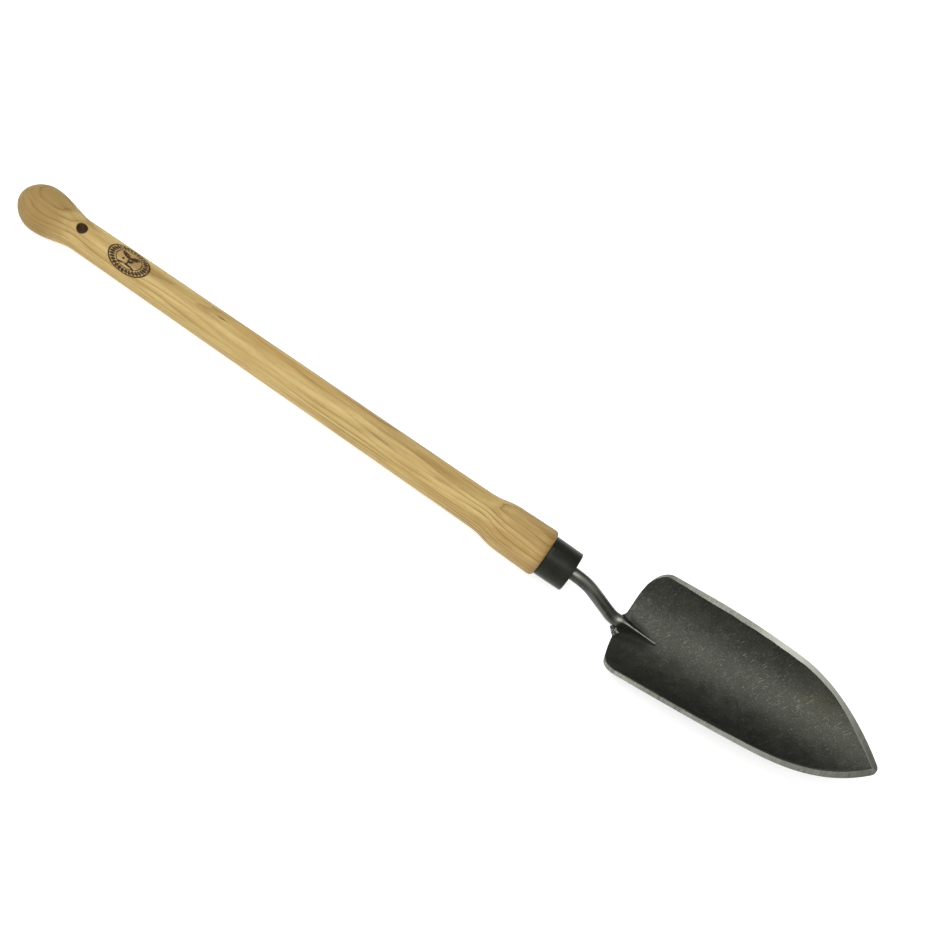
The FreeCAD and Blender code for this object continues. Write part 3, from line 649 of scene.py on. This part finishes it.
def handle_profile():
    """The turned profile from the knob's end to the bore's: (x, radius)."""
    nose_end = math.acos((KNOB_X - NOSE_R) / (NOSE_SIDE_R - NOSE_R))
    rows = []
    for i in range(13):
        a = nose_end * i / 12
        rows.append((max(NOSE_R * (1 - math.cos(a)), 0.02), NOSE_R * math.sin(a)))
    rows += arc(rows[-1], (KNOB_X, KNOB_R), NOSE_SIDE_R, -1, 16)
    taper = (KNOB_X + KNOB_BACK_R * math.sin(KNOB_TURN),
             KNOB_R - KNOB_BACK_R * (1 - math.cos(KNOB_TURN)))
    rows += arc(rows[-1], taper, KNOB_BACK_R, -1, 12)
    waist = (taper[0] + KNOB_TAPER, taper[1] - KNOB_TAPER * math.tan(KNOB_TURN))
    rows += straight(taper, waist, 10)
    shaft = (waist[0] + WAIST_R * math.sin(KNOB_TURN),
             waist[1] - WAIST_R * (1 - math.cos(KNOB_TURN)))
    rows += arc(waist, shaft, WAIST_R, 1, 10)
    rows += straight(shaft, (SWELL_X, SWELL_R), 90)

    def swell(reach):
        return SWELL_X + reach * math.sin(SWELL_TURN), SWELL_R + reach * (1 - math.cos(SWELL_TURN))

    rows += arc(rows[-1], swell(SWELL_HOLLOW), SWELL_HOLLOW, 1, 10)
    rows += arc(rows[-1], swell(SWELL_HOLLOW + SWELL_CROWN), SWELL_CROWN, -1, 12)
    rows += straight(rows[-1], (WOOD_X - FRONT_ROUND, FRONT_R), 10)
    rows += arc(rows[-1], (WOOD_X, FRONT_R - FRONT_ROUND), FRONT_ROUND, -1, 8)
    rows += [(WOOD_X + 0.03, SPIGOT_R), (SPIGOT_X - SPIGOT_BEVEL, SPIGOT_R)]
    rows += [(SPIGOT_X, SPIGOT_R - SPIGOT_BEVEL), (SPIGOT_X, BORE_R), (BORE_X + 0.05, BORE_R)]
    rows += [(BORE_X, TANG_ROOT / 2), (TANG_X, TANG_POINT / 2), (TANG_X, 0.0)]
    return rows


PROFILE = handle_profile()


def handle_radius(x):
    """The outside radius at x."""
    for (x0, r0), (x1, r1) in zip(PROFILE, PROFILE[1:]):
        if x0 <= x <= x1 and x1 > x0:
            return r0 + (r1 - r0) * (x - x0) / (x1 - x0)
    return 0.0


def squared(half, a):
    """How much further out a square's edge is than its half width, at an angle."""
    return half / max(abs(math.sin(a)), abs(math.cos(a))) - half


def wood_wobble(x, a, r):
    """Hand-sanded unevenness, a few hundredths deep, never proud of the true size."""
    if x > TANG_X - 1 and r < TANG_ROOT / 2 + 0.1:
        return squared(r, a)
    if x < 0.5 or x > WOOD_X - 0.2:
        return 0.0
    n = noise.noise(Vector((x / 26, 2.2 * math.sin(a), 2.2 * math.cos(a))))
    return -0.05 + 0.05 * n


def hole_cutter():
    """A spool whose flared ends leave a rounded rim on the handle's saddle."""
    soft, around, beyond = 0.75, 72, 20.0
    steps = [math.radians(90 * j / 6) for j in range(7)]
    rings = []
    for side in (1, -1):
        levels = [(HOLE_R + soft, None), (HOLE_R + soft, 0.25)]
        levels += [(HOLE_R + soft * (1 - math.sin(t)), -soft * (1 - math.cos(t))) for t in steps]
        part = []
        for radius, lift in levels:
            ring = []
            for i in range(around):
                a = 2 * math.pi * i / around
                rim_x = HOLE_X + (HOLE_R + soft) * math.cos(a)
                rim_y = (HOLE_R + soft) * math.sin(a)
                skin = math.sqrt(handle_radius(rim_x) ** 2 - rim_y * rim_y) - 0.05
                level = beyond if lift is None else skin + lift
                ring.append((HOLE_X + radius * math.cos(a), radius * math.sin(a), side * level))
            part.append(ring)
        rings += part if side == 1 else part[::-1]
    verts = [p for ring in rings for p in ring]
    cutter = build("hole_cutter", verts, bridge(len(rings), around), TOOL, [])
    tidy_normals(cutter)
    return cutter


def make_handle():
    verts, faces, _ = lathe(PROFILE, 144, wood_wobble)
    handle = build("handle_turned", verts, faces, TOOL, [WOOD])
    tidy_normals(handle)
    cutter = hole_cutter()
    cut = handle.modifiers.new("hole", "BOOLEAN")
    cut.operation = "DIFFERENCE"
    cut.solver = "EXACT"
    cut.object = cutter
    apply_modifiers(handle)
    bpy.data.objects.remove(cutter)
    for face in handle.data.polygons:
        face.use_smooth = True
    handle.data.set_sharp_from_angle(angle=math.radians(50))
    return handle


# -------------------- ferrule

def make_ferrule():
    """A drawn cap: rolled lip at the wood, tapering wall, rounded front with a turned-in hole."""
    rows = [(402.9, 12.31), (401.6, 12.33), (401.12, 12.6), (400.96, 12.95), (401.00, 13.45)]
    rows += [(401.25, 13.80), (401.8, 13.88), (404.0, 13.87), (410.0, 13.79), (416.0, 13.71)]
    rows += [(419.95, 13.66)]
    rows += arc(rows[-1], (420.95, 12.66), 1.0, -1, 8)
    rows += [(420.98, 10.5), (420.92, 8.0), (420.94, 6.2), (420.96, 5.2)]
    rows += arc(rows[-1], (420.3, 4.56), 0.66, -1, 5)
    rows += [(419.55, 4.56), (419.5, 12.28), (402.9, 12.28)]
    verts, faces, rings = lathe(rows, 160, lambda x, a, r: 0.02 * math.sin(3 * a + x) - 0.02)
    first, last = rings[0], rings[-1]
    for i in range(len(first)):
        j = (i + 1) % len(first)
        faces.append((last[i], last[j], first[j], first[i]))
    ferrule = build("ferrule_cap", verts, faces, TOOL, [ENAMEL])
    tidy_normals(ferrule, 55)
    return ferrule


# -------------------- blade

def curl(u):
    """How far the trough's bottom has lifted at u."""
    run = max(u - CURL_U, 0)
    return run * run / (2 * CURL_R)


def inner_w(u, y):
    return INNER_R - math.sqrt(max(INNER_R ** 2 - y * y, 0)) + curl(u)


def outer_w(u, y):
    return INNER_R - math.sqrt(max(OUTER_R ** 2 - y * y, 0)) + curl(u)


def plan_arc(centre_u, centre_y, radius, start, end, count):
    """Points of the plan on an arc, after its first: (u, y, heading)."""
    points = []
    for i in range(1, count + 1):
        h = start + (end - start) * i / count
        points.append((centre_u + radius * math.sin(h), centre_y + radius * math.cos(h), h))
    return points


def outline():
    """The left half of the plan, from the back edge's middle to the tip: (u, y, heading)."""
    across = math.pi / 2
    points = [(BACK_SET, 0.0, -across)]
    points += plan_arc(BACK_SET + BACK_R, 0.0, BACK_R, -across, BACK_TURN - across, 16)
    points += plan_arc(CORNER_U, CORNER_Y, CORNER_R, BACK_TURN - across, 0.0, 20)
    points += [(CORNER_U + (SIDE_U - CORNER_U) * i / 11, HALF_WIDTH, 0.0) for i in range(1, 12)]
    points += plan_arc(SIDE_U, HALF_WIDTH - SIDE_R, SIDE_R, 0.0, SIDE_TURN, 36)
    points += plan_arc(POINT_U, POINT_Y, POINT_R, SIDE_TURN, TIP_TURN, 48)
    points += plan_arc(TIP_U, 0.0, TIP_R, TIP_TURN, across, 12)
    points[-1] = (TIP_U + TIP_R, 0.0, across)
    return points


# The ground face's width: by heading in degrees round the back corner, then by u.
CORNER_BEVEL = 2.9
BEVEL_START = ((-80.0, 1.0), (-60.0, 1.6), (-30.0, 2.4), (0.0, CORNER_BEVEL))
BEVEL_SIDE = ((CORNER_U, CORNER_BEVEL), (SIDE_U + 4.0, BEVEL))


def rim_width(u, y, heading, side):
    """Width of the rim's face in plan, and how far it is ground, from 0 to 1."""
    raw = SHEET * y / OUTER_R * max(math.cos(heading), 0)
    turn = math.degrees(heading)
    ground = smoothstep(-80, -35, turn)
    (bevel,) = table(turn, BEVEL_START) if turn < 0 else table(u, BEVEL_SIDE)
    widening = smoothstep(145, 168, u) if side > 0 else smoothstep(75, 115, u)
    bevel += (TIP_BEVEL - BEVEL) * widening
    return raw + (bevel - raw) * ground, ground


def tip_height(u, y):
    """Height of the ground face at a plan point near the tip, carried on from the side's arc."""
    reach = math.hypot(u - POINT_U, y - POINT_Y)
    h = math.atan2(u - POINT_U, y - POINT_Y)
    edge_u, edge_y = POINT_U + POINT_R * math.sin(h), POINT_Y + POINT_R * math.cos(h)
    bed_u, bed_y = edge_u - TIP_BEVEL * math.sin(h), edge_y - TIP_BEVEL * math.cos(h)
    edge, bed = outer_w(edge_u, edge_y) + LAND, inner_w(bed_u, bed_y)
    return edge + (bed - edge) * (POINT_R - reach) / TIP_BEVEL


# A ring's points: steps across the trough, the soft outer edge, the ground face and the inner lip.
ACROSS = 84
EDGE_TURNS = (0, 30, 60, 90)
FACE_STEPS = 5
LIP_TURNS = (35, 65, 90)


def hammer(u, y, seed, depth):
    """Shallow dents left by forging."""
    n = noise.noise(Vector((u / 17 + seed, y / 13, 0.3)))
    n += 0.4 * noise.noise(Vector((u / 6 + seed, y / 6, 4.1)))
    return depth * n


def forged_skew(u, y):
    """The left back corner stands a little further back than the right one."""
    return 1.6 * smoothstep(10, 29, y) * (1 - smoothstep(9, 40, u))


def rim_section(u, y, heading, side):
    """One side's cross-section of the rim, from the outer surface up and over to the inner one."""
    width, ground = rim_width(u, y, heading, side)
    width *= smoothstep(-84, -70, math.degrees(heading))
    along = u * 0.9 + side * 31.7
    width += ground * (0.22 * noise.noise(Vector((along / 9, side * 3.0, 1.0)))
                       + 0.10 * noise.noise(Vector((along / 2.6, side * 5.0, 2.0))))
    sin_h, cos_h = math.sin(heading), math.cos(heading)
    low = outer_w(u, y) + LAND * ground
    if heading > TIP_TURN:
        # The two ground faces meet on the middle line, in a mitre.
        h = min(math.atan2(u - POINT_U, y - POINT_Y), MITRE_TURN)
        low = tip_height(u, y)
        bed_u = POINT_U + (POINT_R - TIP_BEVEL) * math.sin(h)
        bed_y = POINT_Y + (POINT_R - TIP_BEVEL) * math.cos(h)
        bed_y = 0.0 if bed_y < 1e-4 else bed_y
    else:
        bed_u, bed_y = u - width * sin_h, max(y - width * cos_h, 0.0)
    high = inner_w(bed_u, bed_y)
    soft = 0.22
    chain = []
    for degrees in EDGE_TURNS:
        t = math.radians(degrees)
        n = -soft + soft * math.sin(t)
        pu, py = u + n * sin_h, max(y + n * cos_h, 0.0)
        chain.append((pu, py, outer_w(pu, py) + soft * (1 - math.cos(t))))
    base = max(low, chain[-1][2] + 0.05)
    lip = 0.45 * (1 - ground)
    rise = high - base
    for i in range(FACE_STEPS + 1):
        t = i / FACE_STEPS * (1 - (lip / rise if rise > lip else 0))
        chain.append((u + (bed_u - u) * t, y + (bed_y - y) * t, base + rise * t))
    for degrees in LIP_TURNS:
        t = math.radians(degrees)
        n = -lip * (1 - math.cos(t))
        pu, py = bed_u + n * sin_h, max(bed_y + n * cos_h, 0.0)
        chain.append((pu, py, inner_w(pu, py) - lip * (1 - math.sin(t))))
    skew = forged_skew(u, y) if side > 0 else 0.0
    return [(pu - skew, side * py, pw) for pu, py, pw in chain]


def trough_run(start, end, radius, height):
    """Points from one rim to the other over a face of the trough."""
    (start_u, start_y, _), (end_u, end_y, _) = start, end
    a0, a1 = math.asin(start_y / radius), math.asin(end_y / radius)
    points = []
    for j in range(1, ACROSS):
        t = j / ACROSS
        y = radius * math.sin(a0 + (a1 - a0) * t)
        u = start_u + (end_u - start_u) * t
        inset = min(max(start_y, end_y) - y, y - min(start_y, end_y))
        fade = smoothstep(0, 7, inset) * smoothstep(0, 6, u)
        points.append((u, y, height(u, y, fade)))
    return points


def hollow_height(u, y, fade):
    return inner_w(u, y) + hammer(u, y, 0.0, 0.13) * fade


def back_height(u, y, fade):
    return outer_w(u, y) + (0.09 + hammer(u, y, 9.0, 0.09)) * fade


def make_blade():
    """Rings across the blade from the back edge to the tip, each rim, hollow, rim and back."""
    places = outline()
    verts, rows = [], []
    for u, y, heading in places:
        left, right = rim_section(u, y, heading, 1), rim_section(u, y, heading, -1)
        ring = left + trough_run(left[-1], right[-1], INNER_R, hollow_height)
        ring += right[::-1] + trough_run(right[0], left[0], OUTER_R, back_height)
        rows.append(range(len(verts), len(verts) + len(ring)))
        verts += ring
    size = len(rows[0])
    strip = len(EDGE_TURNS) + FACE_STEPS + 1 + len(LIP_TURNS)
    right_start = strip + ACROSS - 1
    face_start = len(EDGE_TURNS)
    faces, kinds = [], []
    for (_, _, heading), low, high in zip(places, rows, rows[1:]):
        bright = math.degrees(heading) > -74
        for k in range(size):
            n = (k + 1) % size
            faces.append((low[k], low[n], high[n], high[k]))
            spot = k if k < strip else right_start + strip - 1 - k
            on_rim = k < strip or k >= right_start
            on_face = on_rim and face_start <= spot < face_start + FACE_STEPS
            kinds.append(1 if bright and on_face else 0)
    blade = build("blade_forged", verts, faces, BLADE, [SCALE, GROUND], indices=kinds)
    bm = bmesh.new()
    bm.from_mesh(blade.data)
    bmesh.ops.remove_doubles(bm, verts=bm.verts, dist=2e-6)
    bmesh.ops.dissolve_degenerate(bm, edges=bm.edges, dist=1e-7)
    bm.to_mesh(blade.data)
    bm.free()
    tidy_normals(blade, 24)
    return blade


# -------------------- neck and spike

ROD_R, BEND_R, FOOT_R, FOOT_SINK = 4.45, 25.0, 9.0, 0.25
REST_W = ROD_R - FOOT_SINK
# The spike's sections: u, half base, height, crest's radius.
SPIKE = ((1.15, 7.0, 8.7, 4.40), (5.6, 6.4, 7.6, 1.2), (12.0, 4.6, 5.7, 0.7),
         (20.0, 3.0, 3.7, 0.5), (27.4, 1.5, 1.9, 0.4))
ROUND = 72
ANGLES = [2 * math.pi * k / ROUND for k in range(ROUND)]


def neck_path():
    """Points and directions (angle below x) of the rod's middle line in the tool's xz plane."""
    foot = (BLADE_X - REST_W * math.sin(BLADE_RISE), BLADE_Z + REST_W * math.cos(BLADE_RISE))
    drop = (BEND_X + BEND_R * math.sin(DROP), BEND_R * (math.cos(DROP) - 1))
    turn = DROP + BLADE_RISE
    run = (drop[0] - foot[0]) * math.sin(DROP) + (drop[1] - foot[1]) * math.cos(DROP)
    run /= math.sin(turn)
    meet = (foot[0] + run * math.cos(BLADE_RISE), foot[1] + run * math.sin(BLADE_RISE))
    tangent = FOOT_R * math.tan(turn / 2)
    leave = (meet[0] - tangent * math.cos(DROP), meet[1] + tangent * math.sin(DROP))
    path = [(ROD_X + (BEND_X - ROD_X) * i / 10, 0.0, 0.0) for i in range(11)]
    for i in range(1, 15):
        a = DROP * i / 14
        path.append((BEND_X + BEND_R * math.sin(a), BEND_R * (math.cos(a) - 1), a))
    for i in range(1, 13):
        t = i / 13
        path.append((drop[0] + (leave[0] - drop[0]) * t, drop[1] + (leave[1] - drop[1]) * t, DROP))
    cx, cz = leave[0] + FOOT_R * math.sin(DROP), leave[1] + FOOT_R * math.cos(DROP)
    for i in range(15):
        a = DROP - turn * i / 14
        path.append((cx - FOOT_R * math.sin(a), cz - FOOT_R * math.cos(a), a))
    return path


def wedge_ring(half_base, height, crest, base_w=-0.35):
    """A ring round a wedge section with a rounded crest: (y, w) from the top over the left."""
    rise_w = height - crest - base_w
    span = math.hypot(half_base, rise_w)
    lean = math.atan2(rise_w, half_base) - math.asin(min(crest / span, 1))
    touch = (crest * math.sin(lean), height - crest + crest * math.cos(lean))
    half = ROUND // 2
    top, flank = int(half * 0.34), int(half * 0.76)
    points = []
    for i in range(half + 1):
        if i <= top:
            a = lean * i / top
            points.append((crest * math.sin(a), height - crest + crest * math.cos(a)))
        elif i <= flank:
            t = (i - top) / (flank - top)
            points.append((touch[0] + (half_base - touch[0]) * t,
                           touch[1] + (base_w - touch[1]) * t))
        else:
            t = (i - flank) / (half - flank)
            points.append((half_base * (1 - t), base_w))
    return points + [(-y, w) for y, w in points[-2:0:-1]]


def tang_rings():
    """The square tang, just inside its bed in the wood."""
    rings = []
    for i in range(9):
        t = i / 8
        x = TANG_X + 0.1 + (ROD_X - 0.3 - TANG_X) * t
        half = (TANG_POINT + (TANG_ROOT - TANG_POINT) * t) / 2 - 0.03
        ring = []
        for a in ANGLES:
            r = half + squared(half, a)
            ring.append((x, r * math.sin(a), r * math.cos(a)))
        rings.append(ring)
    return rings


def rod_rings(path):
    """The round neck, slightly uneven from the hammer."""
    rings = []
    for number, (x, z, below) in enumerate(path):
        ring = []
        for a in ANGLES:
            n = noise.noise(Vector((number / 4.5, 1.3 * math.sin(a), 1.3 * math.cos(a))))
            r = ROD_R - 0.06 + 0.07 * n
            up = r * math.cos(a)
            ring.append((x + up * math.sin(below), r * math.sin(a), z + up * math.cos(below)))
        rings.append(ring)
    return rings


def spike_rings(path):
    """The rod's end, spread into a ridged spike that lies on the blade's hollow face."""
    to_tool = TOOL.inverted() @ BLADE
    start = to_tool.inverted() @ (Vector((path[-1][0], 0, path[-1][1])) * MM)
    start_u, end_u = start.x / MM, SPIKE[-1][0]
    radius = ROD_R - 0.05
    steps = 26
    rings = []
    for i in range(1, steps + 1):
        u = start_u + (end_u - start_u) * (i / steps) ** 1.25
        half_base, height, crest = table(u, SPIKE)
        wedge = wedge_ring(half_base - 0.25, height - 0.05, crest)
        blend = smoothstep(0.2, 4.6, u)
        ring = []
        for a, (wedge_y, wedge_w) in zip(ANGLES, wedge):
            rod_y, rod_w = radius * math.sin(a), REST_W + radius * math.cos(a)
            y, w = rod_y + (wedge_y - rod_y) * blend, rod_w + (wedge_w - rod_w) * blend
            n = noise.noise(Vector((u / 3.1, y / 2.2, w / 2.2)))
            on_blade = u > BACK_SET + y * y / (2 * BACK_R)
            bed = inner_w(u, y) - 0.25 if on_blade else -9.0
            point = to_tool @ (Vector((u, y * (1 + 0.02 * n * blend), max(w, bed))) * MM)
            ring.append(tuple(c / MM for c in point))
        rings.append(ring)
    return rings


def make_neck():
    path = neck_path()
    rings = tang_rings() + rod_rings(path) + spike_rings(path)
    verts = [p for ring in rings for p in ring]
    neck = build("neck_forging", verts, bridge(len(rings), ROUND), TOOL, [ROD])
    tidy_normals(neck, 42)
    return neck


# -------------------- welds

def blob(name, balls, material, voxel, smooth_steps):
    """Overlapping ellipsoids, each (centre, radii, turn in plan), melted into one skin in the
    blade frame. The voxel's size is in millimetres."""
    bm = bmesh.new()
    for centre, radii, turn in balls:
        made = bmesh.ops.create_icosphere(bm, subdivisions=3, radius=1.0)
        c, s = math.cos(turn), math.sin(turn)
        for v in made["verts"]:
            n = 1 + 0.06 * noise.noise(Vector(v.co) * 1.6 + Vector(centre))
            px, py, pz = (r * p * n for r, p in zip(radii, v.co))
            v.co = Vector((centre[0] + px * c - py * s, centre[1] + px * s + py * c,
                           centre[2] + pz))
    for v in bm.verts:
        v.co = BLADE @ (v.co * MM)
    mesh = bpy.data.meshes.new(name)
    bm.to_mesh(mesh)
    bm.free()
    mesh.materials.append(material)
    obj = link(name, mesh)
    melt = obj.modifiers.new("melt", "REMESH")
    melt.mode = "VOXEL"
    melt.voxel_size = voxel * MM
    melt.use_smooth_shade = True
    relax = obj.modifiers.new("relax", "SMOOTH")
    relax.factor = 0.5
    relax.iterations = smooth_steps
    apply_modifiers(obj)
    tidy_normals(obj)
    return obj


def make_bead():
    """The rough run on the right: overlapping ripples behind a filled corner."""
    start, end = Vector((-1.9, -4.4)), Vector((1.5, -8.6))
    turn = math.atan2(end.y - start.y, end.x - start.x)
    balls = []
    for i in range(8):
        t = i / 7
        spot = start.lerp(end, t)
        size = 0.88 + 0.09 * math.sin(2.7 * i) - 0.20 * t
        balls.append(((spot.x, spot.y, 1.15 + 0.12 * math.sin(1.9 * i)),
                      (0.92, 1.75 * size, 1.55 * size), turn))
    for i in range(7):
        t = i / 6
        balls.append(((-1.4 + 3.4 * t, -4.4 - 2.4 * t, 0.95), (1.5, 1.5, 1.15), 0.0))
        balls.append(((0.6 + 2.6 * t, -4.3 - 1.6 * t, 0.95), (1.3, 1.3, 1.1), 0.0))
    return blob("weld_bead_run", balls, BEAD, 0.15, 7)


def make_web():
    """The smoother fillet on the left, hollow between the neck and the blade's back edge."""
    hollow_r, ball_r = 8.2, 1.5
    centre_u, centre_y = -6.6, 12.0
    steps = 21
    balls = []
    for i in range(steps + 1):
        a = math.radians(4 + 82 * i / steps)
        for layer in range(5):
            radius = hollow_r + ball_r + 0.9 * layer
            u = centre_u + radius * math.sin(a)
            y = centre_y - radius * math.cos(a)
            if y < 3.0 or u > 4.0:
                continue
            thick = 1.55 - 0.45 * i / steps
            balls.append(((u, y, 0.75), (ball_r, ball_r, thick), 0.0))
    web = blob("weld_fillet_web", balls, SOFT_WELD, 0.16, 12)
    # Pressed down to a thin skin on the blade, and left thick beside the neck.
    for v in web.data.vertices:
        u, y, w = (TO_BLADE @ v.co) / MM
        fall = smoothstep(3.0, 8.5, y + 0.6 * max(u - 1.0, 0))
        top = inner_w(max(u, 0), y) + 0.15 + 2.4 * (1 - fall) ** 1.5
        if w > top:
            v.co = BLADE @ (Vector((u, y, top)) * MM)
    return web


# -------------------- the tool

def place(piece, node, slot):
    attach(piece, "root")
    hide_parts(node)


place(make_handle(), "handle", "ash")
place(make_ferrule(), "ferrule", "black_steel")
place(make_neck(), "tang_neck", "forged_steel")
place(make_blade(), "blade", "forged_steel")
place(make_web(), "weld_fillet", "weld_metal")
place(make_bead(), "weld_bead", "weld_metal")

# -------------------- floor, light and camera

low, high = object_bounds()
MIDDLE = (low + high) / 2
LIGHT_DISTANCE = 1.3
CAMERA_DISTANCE = 1.306


def make_floor():
    """A pale floor, wide enough to fill any view."""
    mesh = bpy.data.meshes.new("floor")
    size = 30.0
    mesh.from_pydata([(-size, -size, 0), (size, -size, 0), (size, size, 0), (-size, size, 0)], [],
                     [(0, 1, 2, 3)])
    g = Graph("pale_floor")
    grain = g.noise(g.x / 3, g.y / 3, g.z / 3, 3.0, 0.5)
    colour = g.mix(grain, (0.80, 0.80, 0.80), (0.83, 0.83, 0.83))
    mesh.materials.append(g.finish(colour, 0.9, Specular_IOR_Level=0.0,
                                   Emission_Color=(1.0, 1.0, 1.0, 1.0), Emission_Strength=0.56))
    link("floor", mesh)


def area_light(name, direction, size, power):
    """A soft rectangular light in a direction from the tool's middle, turned to face it."""
    data = bpy.data.lights.new(name, "AREA")
    data.shape = "RECTANGLE"
    data.size, data.size_y = size
    data.energy = power
    obj = link(name, data)
    direction = Vector(direction).normalized()
    obj.location = MIDDLE + direction * LIGHT_DISTANCE
    obj.rotation_mode = "QUATERNION"
    obj.rotation_quaternion = direction.to_track_quat("Z", "Y")


make_floor()
area_light("overhead", (-0.22, -0.16, 1.0), (1.1, 0.8), 12.5)
area_light("strip", (-0.25, 0.34, 1.0), (0.7, 0.09), 3.4)

# Soft surroundings, a little brighter on the tool's right.
world = bpy.data.worlds.new("studio")
world.use_nodes = True
tree = world.node_tree
background = tree.nodes["Background"]
coords = tree.nodes.new("ShaderNodeTexCoord")
split = tree.nodes.new("ShaderNodeSeparateXYZ")
strength = tree.nodes.new("ShaderNodeMath")
strength.operation = "MULTIPLY_ADD"
strength.inputs[1].default_value = -0.30
strength.inputs[2].default_value = 0.50
tree.links.new(coords.outputs["Generated"], split.inputs[0])
tree.links.new(split.outputs[1], strength.inputs[0])
tree.links.new(strength.outputs[0], background.inputs[1])
background.inputs[0].default_value = (1.0, 1.0, 0.985, 1.0)
bpy.context.scene.world = world
bpy.context.scene.view_settings.view_transform = "Standard"

# The camera looks down on the tool, turned about the view and about the tool's own length.
turn, lean = math.radians(34.545), math.radians(23)
right = Vector((math.cos(turn), math.sin(turn) * math.cos(lean), math.sin(turn) * math.sin(lean)))
up = Vector((-math.sin(turn), math.cos(turn) * math.cos(lean), math.cos(turn) * math.sin(lean)))
back = Vector((0, -math.sin(lean), math.cos(lean)))
axes = Matrix((right, up, back)).transposed()
aim = Vector((328.5, 16.05, 6.9)) * MM
camera_data = bpy.data.cameras.new("camera")
camera_data.lens = 80.0
camera_data.sensor_width = 36.0
camera = link("camera", camera_data)
camera.matrix_world = TOOL @ Matrix.Translation(aim + back * CAMERA_DISTANCE) @ axes.to_4x4()
bpy.context.scene.camera = camera
